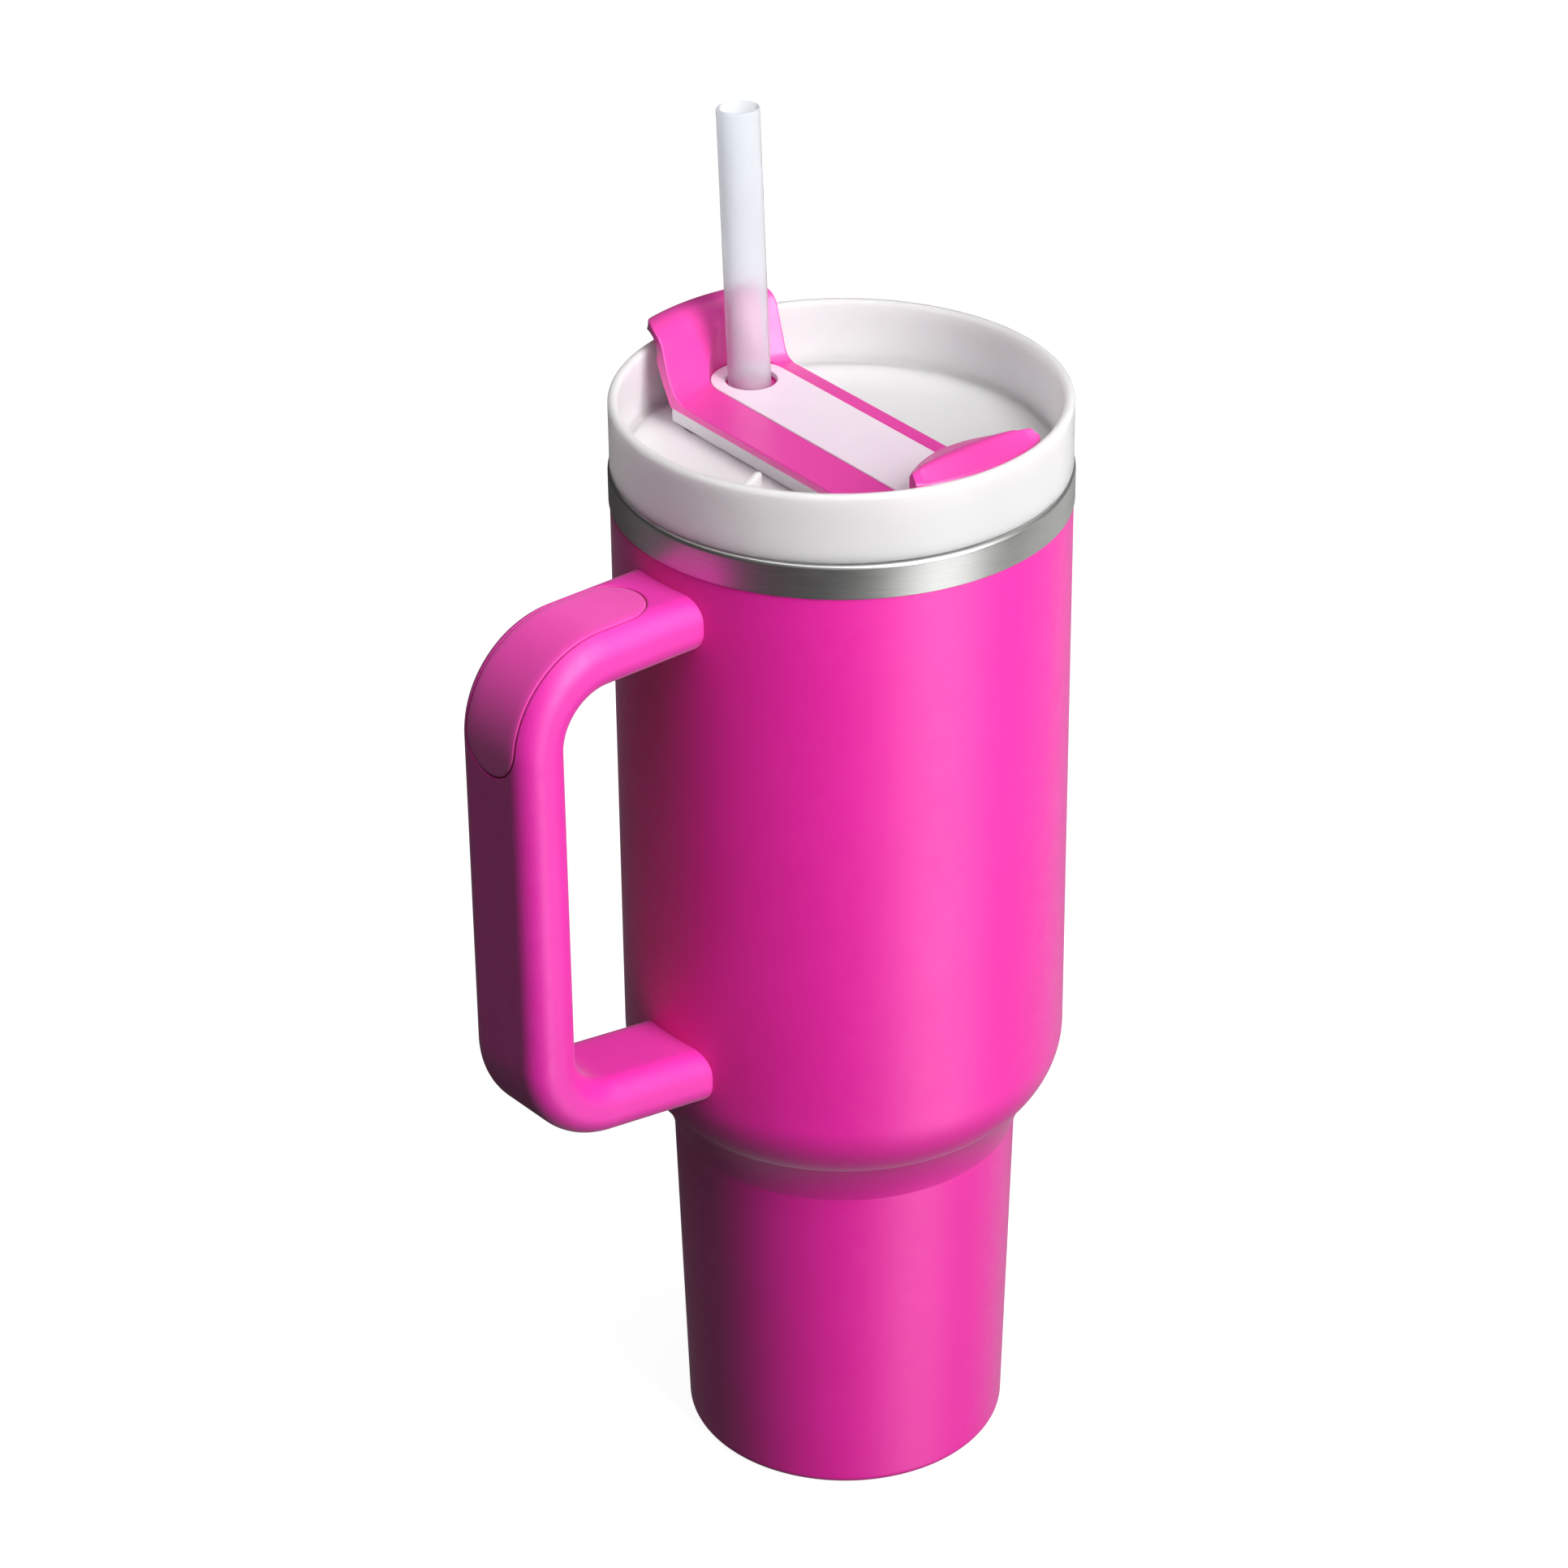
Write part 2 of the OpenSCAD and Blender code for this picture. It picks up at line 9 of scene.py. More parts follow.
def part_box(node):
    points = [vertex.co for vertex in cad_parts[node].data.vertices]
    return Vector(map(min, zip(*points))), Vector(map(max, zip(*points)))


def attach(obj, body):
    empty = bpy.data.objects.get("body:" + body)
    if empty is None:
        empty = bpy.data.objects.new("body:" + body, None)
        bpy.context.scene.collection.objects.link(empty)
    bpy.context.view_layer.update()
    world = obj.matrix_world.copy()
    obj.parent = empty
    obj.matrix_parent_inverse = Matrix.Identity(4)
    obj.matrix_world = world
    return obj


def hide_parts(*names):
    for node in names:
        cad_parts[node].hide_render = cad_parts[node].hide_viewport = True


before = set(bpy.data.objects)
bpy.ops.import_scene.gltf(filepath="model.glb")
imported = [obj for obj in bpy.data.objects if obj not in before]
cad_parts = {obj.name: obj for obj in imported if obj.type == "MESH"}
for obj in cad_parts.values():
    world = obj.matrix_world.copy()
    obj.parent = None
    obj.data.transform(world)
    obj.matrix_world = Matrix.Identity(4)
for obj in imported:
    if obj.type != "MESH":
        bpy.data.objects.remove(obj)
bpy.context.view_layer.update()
MM = 0.001
TAU = math.tau
QUARTER = [math.pi / 2 * k / 5 for k in range(6)]  # angles of a rounded edge's steps


def box_mm(node):
    """Lowest and highest corners of a CAD node in millimetres."""
    low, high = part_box(node)
    return low / MM, high / MM


# ---------- dimensions, in millimetres, taken from the CAD nodes ----------

SHELL_HIGH = box_mm("outer_shell")[1]
LINER_HIGH = box_mm("inner_liner")[1]
LID_LOW, LID_HIGH = box_mm("lid_body")
HANDLE_LOW, HANDLE_HIGH = box_mm("handle_frame")

BODY_R = SHELL_HIGH.x
PAINT_TOP = SHELL_HIGH.z
BAND_R = LINER_HIGH.x
MOUTH_Z = LINER_HIGH.z
MOUTH_IN_R = 46.9
STEP_Z = 82.0
STEP_R = 39.4
BASE_R = 37.1
FOOT_IN_R = 31.0
SHOULDER_Z = 107.5
SHOULDER_R = 20.0
SHOULDER_TURN = math.radians(50)
SHELL_T = 0.5
LINER_T = 0.5
LINER_IN_GAP = 3.2
LINER_FLOOR = 7.7
LINER_UNDER = LINER_FLOOR - LINER_T
LINER_CORNER = 8.0

LID_R = LID_HIGH.x
RIM_Z = LID_HIGH.z
SKIRT_Z = LID_LOW.z
RING_T = 2.3
RING_IN_R = LID_R - RING_T
RING_LOW = 248.2
FLOOR_Z = 249.0
FLOOR_LOW = 246.8
SKIRT_R = 44.9
SKIRT_IN_R = 42.6
GROOVE_R = 43.9
GROOVE_LOW = 243.9
GROOVE_HIGH = 247.3
SLOT_AT = 32.8
SLOT_HALF = 5.5
SLOT_FROM = math.radians(-10)
SLOT_TO = math.radians(24)
RIB_ANGLE = math.radians(117)  # from the bar at rest
RIB_HALF = 0.8
RIB_IN_R = 39.5
RIB_OUT_R = 48.4  # inside the ring's wall
RIB_TOP = 262.8

REACH = -HANDLE_LOW.x
HANDLE_TOP = HANDLE_HIGH.z
GRIP_W = HANDLE_HIGH.y - HANDLE_LOW.y
GRIP_T = 13.0
GRIP_EDGE = 5.5
BEND_R = 24.0
BEND_MID = BEND_R - GRIP_T / 2
BEND_X = REACH - BEND_R
HIGH_BEND = HANDLE_TOP - BEND_R
LOW_BEND = 136.0
ARM_TILT = math.radians(8)
HIGH_ARM_AT = (54.0, 58.0, 63.0, 68.0)
LOW_ARM_RUNS = (7.0, 14.0, 20.0)
BEND_PARTS = 24
GRIP_PARTS = 12
INLAY_HALF = 8.0
INLAY_START = 56.5
INLAY_LOW = 206.0
INLAY_DEPTH = 1.2
INLAY_GROOVE = 0.35

BAR_ANGLE = math.radians(87)
COVER_TOP = 255.0
COVER_UNDER = 253.0
COVER_R = RING_IN_R - 0.8
WIDE = 20.3
NARROW = 12.9
FOLD_R = 38.2
TAB_T = 2.0
BACKING_R = (39.6, 43.5)
BACKING_HALF = 10.9
BACKING_TOP = 258.0
TAB_LOW = 256.0
TAB_RISE = 10.0
TAB_BULGE = 0.54
HOOK_FOOT = 262.6
HOOK_LOW = 262.0
HOOK_CORNER = 8.0
BAR_PARTS = 14
BAR_SOLE = COVER_UNDER - 0.6  # where the discs below the bar begin to run into it
LIP_C = (47.6, 264.2)
LIP_R = 5.2
LIP_T = 2.2
LIP_END = math.radians(50)
LIP_START = math.radians(168)
PAD_R = 24.0
PAD_C = (-57.5, -3.5)
PAD_TOP = 265.1
PAD_DROP = 0.25
PAD_FULL = 8.0
RIDGE = ((-0.12, 0.3), (-0.05, 0.07), (0.0, 0.0), (0.05, 0.06), (0.12, 0.26))
HOLE_AT = 32.4
HOLE_R = 5.7
INSERT_HALF = 8.9
INSERT_T = 1.0
INSERT_TOP = COVER_TOP + 0.15
BOSS_LOW = 250.3
BOSS_R = 7.9
PIVOT_R = 4.0

STRAW_R = 4.75
STRAW_T = 1.0
STRAW_AT = 33.0
STRAW_LEAN = math.radians(2.6)
STRAW_TOP = 317.5
STRAW_FOOT = 11.0


# ---------- profiles ----------


def rounded(corners, closed=True, step=0.16):
    """Polyline through (x, y, radius) corners, each corner turned into an arc of its radius."""
    out = []
    count = len(corners)
    for i, (x, y, radius) in enumerate(corners):
        here = Vector((x, y))
        if radius <= 0 or (not closed and i in (0, count - 1)):
            out.append(here)
            continue
        before = Vector(corners[i - 1][:2]) - here
        after = Vector(corners[(i + 1) % count][:2]) - here
        a, b = before.normalized(), after.normalized()
        half = math.acos(max(-1, min(1, a.dot(b)))) / 2
        if half > math.pi / 2 - 0.01:
            out.append(here)
            continue
        run = min(radius / math.tan(half), 0.49 * before.length, 0.49 * after.length)
        radius = run * math.tan(half)
        centre = here + (a + b).normalized() * (radius / math.sin(half))
        start, end = here + a * run - centre, here + b * run - centre
        turn = math.atan2(start.x * end.y - start.y * end.x, start.dot(end))
        parts = max(2, math.ceil(abs(turn) / step))
        for k in range(parts + 1):
            out.append(centre + Matrix.Rotation(turn * k / parts, 2) @ start)
    tidy = []
    for p in out:
        if not tidy or (p - tidy[-1]).length > 1e-4:
            tidy.append(p)
    if closed and (tidy[0] - tidy[-1]).length < 1e-4:
        tidy.pop()
    return tidy


def arc(cx, cy, radius, start, end, parts):
    """Points on an arc, as (x, y, 0) corners."""
    return [
        (cx + radius * math.cos(a), cy + radius * math.sin(a), 0)
        for a in (start + (end - start) * k / parts for k in range(parts + 1))
    ]


def inset(loop, amount):
    """A closed outline moved inwards by an amount; the outline runs anticlockwise."""
    out = []
    count = len(loop)
    for i, p in enumerate(loop):
        a = (p - loop[i - 1]).normalized()
        b = (loop[(i + 1) % count] - p).normalized()
        normal = Vector((-(a.y + b.y), a.x + b.x))
        if normal.length < 1e-6:
            normal = Vector((-a.y, a.x))
        normal.normalize()
        lean = max(0.5, normal.dot(Vector((-a.y, a.x))))
        out.append(p + normal * (amount / lean))
    return out


def area_of(loop):
    return 0.5 * sum(
        loop[i - 1].x * p.y - p.x * loop[i - 1].y for i, p in enumerate(loop)
    )


# ---------- meshes ----------


def finish_mesh(bm, name, sharp=38.0):
    """Turns a bmesh in millimetres into an object in metres."""
    bmesh.ops.remove_doubles(bm, verts=bm.verts, dist=1e-4)
    bmesh.ops.dissolve_degenerate(bm, edges=bm.edges, dist=1e-5)
    bmesh.ops.recalc_face_normals(bm, faces=bm.faces)
    bmesh.ops.scale(bm, vec=(MM, MM, MM), verts=bm.verts)
    mesh = bpy.data.meshes.new(name)
    bm.to_mesh(mesh)
    bm.free()
    obj = bpy.data.objects.new(name, mesh)
    bpy.context.scene.collection.objects.link(obj)
    mesh.shade_smooth()
    mesh.set_sharp_from_angle(angle=math.radians(sharp))
    return obj


def lathe_into(bm, loop, parts, closed):
    """Turns a profile of (r, z) points about the cup's axis."""
    rings = []
    for p in loop:
        if p.x < 1e-4:
            rings.append([bm.verts.new((0, 0, p.y))] * parts)
        else:
            rings.append(
                [
                    bm.verts.new(
                        (
                            p.x * math.cos(TAU * k / parts),
                            p.x * math.sin(TAU * k / parts),
                            p.y,
                        )
                    )
                    for k in range(parts)
                ]
            )
    pairs = list(zip(rings, rings[1:]))
    if closed:
        pairs.append((rings[-1], rings[0]))
    for low, high in pairs:
        for k in range(parts):
            n = (k + 1) % parts
            face = []
            for v in (low[k], low[n], high[n], high[k]):
                if v not in face:
                    face.append(v)
            if len(face) > 2:
                bm.faces.new(face)


def lathe(name, corners, parts, closed=True, sharp=38.0):
    bm = bmesh.new()
    lathe_into(bm, rounded(corners, closed), parts, closed)
    return finish_mesh(bm, name, sharp)


def cap(bm, verts, flat):
    """Meshes a closed ring of vertices by triangulating its flat outline."""
    count = len(flat)
    edges = [(k, (k + 1) % count) for k in range(count)]
    out = delaunay_2d_cdt(flat, edges, [list(range(count))], 1, 1e-7)
    for face in out[2]:
        bm.faces.new([verts[out[3][k][0]] for k in face])


def skin_into(bm, rings, caps=True, flat=None):
    """Joins closed rings of equal length with quads, and closes both ends.

    flat is the outline that the rings share before they are bent, and the ends are meshed on it.
    """
    made = [[bm.verts.new(p) for p in ring] for ring in rings]
    count = len(made[0])
    for low, high in zip(made, made[1:]):
        for k in range(count):
            n = (k + 1) % count
            bm.faces.new((low[k], low[n], high[n], high[k]))
    if not caps:
        return
    for ring in (made[0], made[-1]):
        if flat is None:
            centre = sum((v.co for v in ring), Vector()) / count
            normal = Vector()
            for k in range(count):
                normal += (ring[k - 1].co - centre).cross(ring[k].co - centre)
            turn = normal.rotation_difference(Vector((0, 0, 1)))
            plan = [(turn @ (v.co - centre)).to_2d() for v in ring]
        else:
            plan = flat
        cap(bm, ring, plan)


def skin(name, rings, sharp=38.0, turn=None, flat=None):
    bm = bmesh.new()
    skin_into(bm, rings, flat=flat)
    if turn is not None:
        bmesh.ops.transform(bm, matrix=turn, verts=bm.verts)
    return finish_mesh(bm, name, sharp)


def cut(obj, *tools, how="DIFFERENCE", sharp=38.0):
    """Applies exact booleans to obj, removes the tools and weights the normals."""
    obj.modifiers.clear()
    for tool in tools:
        mod = obj.modifiers.new("cut", "BOOLEAN")
        mod.operation = how
        mod.solver = "EXACT"
        mod.object = tool
        bpy.context.view_layer.update()
        graph = bpy.context.evaluated_depsgraph_get()
        mesh = bpy.data.meshes.new_from_object(obj.evaluated_get(graph))
        obj.modifiers.remove(mod)
        old = obj.data
        obj.data = mesh
        mesh.name = obj.name
        bpy.data.meshes.remove(old)
        bpy.data.objects.remove(tool)
    bm = bmesh.new()
    bm.from_mesh(obj.data)
    bmesh.ops.remove_doubles(bm, verts=bm.verts, dist=2e-7)
    bmesh.ops.dissolve_degenerate(bm, edges=bm.edges, dist=1e-7)
    bm.to_mesh(obj.data)
    bm.free()
    obj.data.shade_smooth()
    obj.data.set_sharp_from_angle(angle=math.radians(sharp))
    weigh = obj.modifiers.new("normals", "WEIGHTED_NORMAL")
    weigh.keep_sharp = True
    weigh.weight = 80


def plan_rings(loop, low, high, edge):
    """Rings of an upright block with an outline in plan and a rounded upper edge."""
    rings = [[(p.x, p.y, low) for p in loop]]
    for a in QUARTER:
        z = high - edge * (1 - math.sin(a))
        rings.append([(p.x, p.y, z) for p in inset(loop, edge * (1 - math.cos(a)))])
    return rings


BAR_TURN = Matrix.Rotation(BAR_ANGLE, 4, "Z")
HANDLE_TURN = Matrix.Rotation(math.pi, 4, "Z")


# ---------- materials ----------


class Nodes:
    """A small helper that builds one material's node tree."""

    def __init__(self, name):
        self.mat = bpy.data.materials.new(name)
        self.mat.use_nodes = True
        self.tree = self.mat.node_tree
        self.tree.nodes.clear()
        self.out = self.add("ShaderNodeOutputMaterial")
        self.bsdf = self.add("ShaderNodeBsdfPrincipled")
        self.link(self.bsdf.outputs[0], self.out.inputs[0])
        self.place = self.add("ShaderNodeTexCoord").outputs["Object"]

    def add(self, kind, **values):
        node = self.tree.nodes.new(kind)
        for key, value in values.items():
            if hasattr(node, key):
                setattr(node, key, value)
            else:
                node.inputs[key].default_value = value
        return node

    def link(self, a, b):
        self.tree.links.new(a, b)

    def set(self, **values):
        for key, value in values.items():
            self.bsdf.inputs[key.replace("_", " ")].default_value = value

    def noise(self, scale, detail=3.0, stretch=(1, 1, 1), rough=0.5):
        """Noise in object space; scale is in features per metre."""
        move = self.add("ShaderNodeMapping")
        move.inputs["Scale"].default_value = stretch
        self.link(self.place, move.inputs["Vector"])
        node = self.add("ShaderNodeTexNoise")
        node.inputs["Scale"].default_value = scale
        node.inputs["Detail"].default_value = detail
        node.inputs["Roughness"].default_value = rough
        self.link(move.outputs[0], node.inputs["Vector"])
        return node.outputs["Fac"]

    def ramp(self, value, low, high, at=(0.3, 0.7)):
        """Maps a value between two numbers or two colours."""
        node = self.add("ShaderNodeValToRGB")
        for stop, place, colour in zip(node.color_ramp.elements, at, (low, high)):
            stop.position = place
            if isinstance(colour, float):
                colour = (colour, colour, colour)
            stop.color = (*colour, 1)
        self.link(value, node.inputs[0])
        return node.outputs[0]

    def mix(self, factor, a, b):
        """Mixes two colours by a linked factor."""
        node = self.add("ShaderNodeMix", data_type="RGBA")
        kinds = {(s.name, s.type): s for s in node.inputs}
        self.link(factor, kinds["Factor", "VALUE"])
        kinds["A", "RGBA"].default_value = (*a, 1)
        kinds["B", "RGBA"].default_value = (*b, 1)
        return [s for s in node.outputs if s.type == "RGBA"][0]

    def bump(self, height, strength, depth):
        node = self.add("ShaderNodeBump")
        node.inputs["Strength"].default_value = strength
        node.inputs["Distance"].default_value = depth
        self.link(height, node.inputs["Height"])
        self.link(node.outputs[0], self.bsdf.inputs["Normal"])

    def colour(self, value):
        self.link(value, self.bsdf.inputs["Base Color"])

    def rough(self, value):
        self.link(value, self.bsdf.inputs["Roughness"])


def painted(name, base, other, rough=(0.42, 0.5), grain=1800.0, bump=0.1, depth=0.00006):
    """Powder coat or moulded plastic: fine even grain and a faint drift of colour."""
    n = Nodes(name)
    n.colour(n.mix(n.ramp(n.noise(38.0, 2.0), 0.0, 1.0, (0.35, 0.65)), base, other))
    n.rough(n.ramp(n.noise(260.0, 3.0), rough[0], rough[1]))
    n.bump(n.noise(grain, 3.0, rough=0.6), bump, depth)
    return n


def steel(name, low, high, rough, around=True):
    """Brushed stainless steel with fine streaks round the cup."""
    n = Nodes(name)
    stretch = (0.02, 0.02, 1.0) if around else (1, 1, 1)
    streak = n.noise(5200.0, 4.0, stretch, 0.65)
    n.colour(n.ramp(streak, low, high, (0.25, 0.75)))
    n.rough(n.ramp(streak, rough[0], rough[1], (0.2, 0.8)))
    n.bump(streak, 0.12, 0.00002)
    n.set(Metallic=1.0, Anisotropic=0.75)
    spin = n.add("ShaderNodeTangent", direction_type="RADIAL", axis="Z")
    n.link(spin.outputs[0], n.bsdf.inputs["Tangent"])
    return n


POWDER = painted("powder_coat_pink", (0.88, 0.011, 0.39), (0.91, 0.013, 0.41))
POWDER.set(IOR=1.5, Sheen_Weight=0.3, Sheen_Roughness=0.35, Specular_IOR_Level=0.75)
HANDLE_PINK = painted(
    "handle_pink", (0.80, 0.016, 0.40), (0.84, 0.02, 0.43), (0.46, 0.56), 1500.0, 0.14
)
HANDLE_PINK.set(IOR=1.47, Sheen_Weight=0.25, Sheen_Roughness=0.4, Specular_IOR_Level=0.8)
INLAY_PINK = painted(
    "inlay_pink", (0.82, 0.045, 0.41), (0.86, 0.052, 0.44), (0.50, 0.60), 1300.0, 0.2
)
INLAY_PINK.set(IOR=1.45, Sheen_Weight=0.4, Sheen_Roughness=0.45)
COVER_PINK = painted(
    "cover_pink", (0.80, 0.05, 0.38), (0.83, 0.056, 0.40), (0.29, 0.36), 2600.0, 0.03, 0.00003
)
COVER_PINK.set(IOR=1.5, Sheen_Weight=0.1, Sheen_Roughness=0.4, Specular_IOR_Level=0.8)
BAND_STEEL = steel("brushed_steel_band", (0.50, 0.50, 0.49), (0.66, 0.66, 0.65), (0.29, 0.37))
INNER_STEEL = steel("inner_steel", (0.56, 0.56, 0.56), (0.70, 0.70, 0.70), (0.30, 0.42))
DULL = steel("dull_metal", (0.42, 0.42, 0.43), (0.55, 0.55, 0.56), (0.40, 0.55), around=False)

LID_MILK = painted(
    "lid_milk", (0.90, 0.90, 0.905), (0.92, 0.92, 0.925), (0.30, 0.38), 2000.0, 0.04
)
LID_MILK.set(
    IOR=1.5, Subsurface_Weight=1.0, Subsurface_Radius=(1.0, 1.0, 1.0), Subsurface_Scale=0.008
)

INSERT_MILK = painted(
    "insert_milk", (0.91, 0.73, 0.86), (0.93, 0.77, 0.88), (0.32, 0.42), 900.0, 0.06
)
INSERT_MILK.set(Subsurface_Weight=0.4, Subsurface_Radius=(1.0, 0.7, 0.9), Subsurface_Scale=0.002)

STRAW_MILK = painted(
    "straw_milk", (0.88, 0.90, 0.93), (0.90, 0.92, 0.95), (0.30, 0.38), 2000.0, 0.05
)
STRAW_MILK.set(IOR=1.18, Transmission_Weight=0.75)

SILICONE = painted(
    "silicone", (0.74, 0.74, 0.75), (0.78, 0.78, 0.79), (0.5, 0.6), 1200.0, 0.1
)
PIN_WHITE = painted(
    "pin_white", (0.80, 0.80, 0.80), (0.84, 0.84, 0.84), (0.35, 0.45), 1000.0, 0.06
)


def dress(obj, nodes, body, stands_for):
    """Gives a piece its material and body, and hides the CAD nodes that it replaces."""
    obj.data.materials.clear()
    obj.data.materials.append(nodes.mat)
    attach(obj, body)
    if stands_for:
        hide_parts(*stands_for)


# ---------- cup ----------


def lower_r(z):
    return BASE_R + (STEP_R - BASE_R) * z / STEP_Z


def wall_points(gap, foot, corner, top, knee_fillet):
    """Profile points up the side of the cup, moved in by a gap, from the foot to the top."""
    pts = [(lower_r(foot) - gap, foot, corner)]
    pts.append((STEP_R - gap, STEP_Z + gap / 3, knee_fillet))
    pts += arc(BODY_R - SHOULDER_R, SHOULDER_Z, SHOULDER_R - gap, -SHOULDER_TURN, 0, 18)
    pts.append((BODY_R - gap, top, 0.25))
    return pts


shell_profile = (
    [(FOOT_IN_R, 0.0, 0.2)]
    + wall_points(0.0, 0.0, 2.2, PAINT_TOP, 0.35)
    + wall_points(SHELL_T, SHELL_T, 1.6, PAINT_TOP, 0.9)[::-1]
    + [(FOOT_IN_R, SHELL_T, 0.2)]
)
shell = lathe("tumbler_body", shell_profile, 224, sharp=50.0)
dress(shell, POWDER, "cup", ("outer_shell",))

TUCK_R = BODY_R - SHELL_T - 0.2  # the mouth's collar, which sits inside the shell
liner_profile = (
    [(0.0, LINER_FLOOR, 0)]
    + wall_points(LINER_IN_GAP, LINER_FLOOR, LINER_CORNER, 236.0, 3.0)[:-1]
    + [
        (MOUTH_IN_R, MOUTH_Z, 1.0),
        (BAND_R, MOUTH_Z, 1.0),
        (BAND_R, PAINT_TOP, 0.12),
        (TUCK_R, PAINT_TOP, 0.0),
        (TUCK_R, PAINT_TOP - 5, 0.0),
        (MOUTH_IN_R + 1.4, PAINT_TOP - 5, 0.0),
        (MOUTH_IN_R + 0.5, PAINT_TOP - 8, 0.0),
    ]
    + wall_points(LINER_IN_GAP - LINER_T, LINER_UNDER, LINER_CORNER, 232.0, 3.0)[:-1][::-1]
    + [(0.0, LINER_UNDER, 0)]
)
liner = lathe("steel_liner_and_mouth", liner_profile, 224, closed=False, sharp=50.0)
dress(liner, BAND_STEEL, "cup", ("inner_liner",))


THREAD_TURNS = 1.25
THREAD_PITCH = 3.6
TAPER = 10  # stations over which a bead tapers at each end


def thread(name, radius, low, bead, side):
    """Helical thread bead of round section with tapering ends; side is -1 inwards, 1 outwards."""
    parts = int(THREAD_TURNS * 96)
    rings = []
    for k in range(parts + 1):
        t = k / parts
        a = TAU * THREAD_TURNS * t
        fade = min(1.0, t * parts / TAPER, (1 - t) * parts / TAPER)
        size = bead * math.sin(math.pi / 2 * max(fade, 0.08))
        z = low + THREAD_PITCH * THREAD_TURNS * t
        ring = []
        for j in range(12):
            b = TAU * j / 12
            r = radius + side * size * math.cos(b)
            ring.append((r * math.cos(a), r * math.sin(a), z + size * 0.9 * math.sin(b)))
        rings.append(ring)
    return skin(name, rings, 60.0)


mouth_thread = thread("mouth_thread", MOUTH_IN_R + 0.15, 233.6, 0.75, -1)
dress(mouth_thread, INNER_STEEL, "cup", ())

# (r, z, radius): a raised seat for the sealing bead, a dished plate and a flat rim
base_profile = [
    (0.0, 3.3, 0),
    (9.2, 3.3, 0.8),
    (9.8, 1.5, 0.8),
    (29.6, 1.0, 0.8),
    (30.4, 0.55, 0.3),
    (33.4, 0.55, 0.1),
    (33.4, 1.1, 0.1),
    (30.0, 1.6, 0.5),
    (10.4, 2.1, 0.8),
    (9.8, 3.8, 0.8),
    (0.0, 3.8, 0),
]
base = lathe("base_disc", base_profile, 160, closed=False, sharp=50.0)
dress(base, POWDER, "cup", ("base_plate",))


# ---------- handle ----------


def handle_section():
    """Outline of the grip's section: x is outwards from the finger gap, y is across."""
    a, b = GRIP_T / 2, GRIP_W / 2
    return rounded(
        [(a, -b, GRIP_EDGE), (a, b, GRIP_EDGE), (-a, b, GRIP_EDGE), (-a, -b, GRIP_EDGE)],
        step=0.13,
    )


def handle_path():
    """Stations of (s, z, out direction) along the handle's middle line, from the upper arm down."""
    out = []
    mid_top = HANDLE_TOP - GRIP_T / 2
    for s in HIGH_ARM_AT:
        out.append((s, mid_top, Vector((0, 1))))
    for k in range(BEND_PARTS + 1):
        a = math.pi / 2 * (1 - k / BEND_PARTS)
        d = Vector((math.cos(a), math.sin(a)))
        out.append((BEND_X + BEND_MID * d.x, HIGH_BEND + BEND_MID * d.y, d))
    for k in range(1, GRIP_PARTS):
        z = HIGH_BEND + (LOW_BEND - HIGH_BEND) * k / GRIP_PARTS
        out.append((BEND_X + BEND_MID, z, Vector((1, 0))))
    turn = math.pi / 2 - ARM_TILT
    for k in range(BEND_PARTS + 1):
        a = -turn * k / BEND_PARTS
        d = Vector((math.cos(a), math.sin(a)))
        out.append((BEND_X + BEND_MID * d.x, LOW_BEND + BEND_MID * d.y, d))
    d = Vector((math.cos(-turn), math.sin(-turn)))
    along = Vector((-math.cos(ARM_TILT), -math.sin(ARM_TILT)))
    last = Vector((BEND_X + BEND_MID * d.x, LOW_BEND + BEND_MID * d.y))
    for run in LOW_ARM_RUNS:
        p = last + along * run
        out.append((p.x, p.y, d))
    return out


def handle_rings():
    """Sections along the whole handle, with both ends cut to the cup's round wall."""
    section = handle_section()
    path = handle_path()
    wall = BODY_R + 0.05
    rings = []

    def against_wall(point, along):
        """Slides a section point along the arm on to the cup's wall."""
        target = math.sqrt(wall**2 - point[1] ** 2)
        t = (target - point[0]) / along.x
        return (target, point[1], point[2] + along.y * t)

    for s, z, d in path:
        rings.append([(s + d.x * p.x, p.y, z + d.y * p.x) for p in section])
    rings.insert(0, [against_wall(p, Vector((-1, 0))) for p in rings[0]])
    arm = Vector((-math.cos(ARM_TILT), -math.sin(ARM_TILT)))
    rings.append([against_wall(p, arm) for p in rings[-1]])
    return rings


def outer_path(sigma):
    """Point and normal on the handle's outer surface, sigma from the inlay's upper tip."""
    straight = BEND_X - INLAY_START
    if sigma < straight:
        return Vector((INLAY_START + sigma, HANDLE_TOP)), Vector((0, 1))
    sigma -= straight
    bend = BEND_R * math.pi / 2
    if sigma < bend:
        a = math.pi / 2 - sigma / BEND_R
        d = Vector((math.cos(a), math.sin(a)))
        return Vector((BEND_X, HIGH_BEND)) + d * BEND_R, d
    return Vector((REACH, HIGH_BEND - (sigma - bend))), Vector((1, 0))


INLAY_LEN = (BEND_X - INLAY_START) + BEND_R * math.pi / 2 + (HIGH_BEND - INLAY_LOW)


def on_handle(sigma, y, height):
    """Point at a height over the handle's outer surface."""
    p, d = outer_path(sigma)
    over = max(0.0, abs(y) - (GRIP_W / 2 - GRIP_EDGE))
    drop = GRIP_EDGE - math.sqrt(max(0.0, GRIP_EDGE**2 - over**2))
    q = p + d * (height - drop)
    return (q.x, y, q.y)


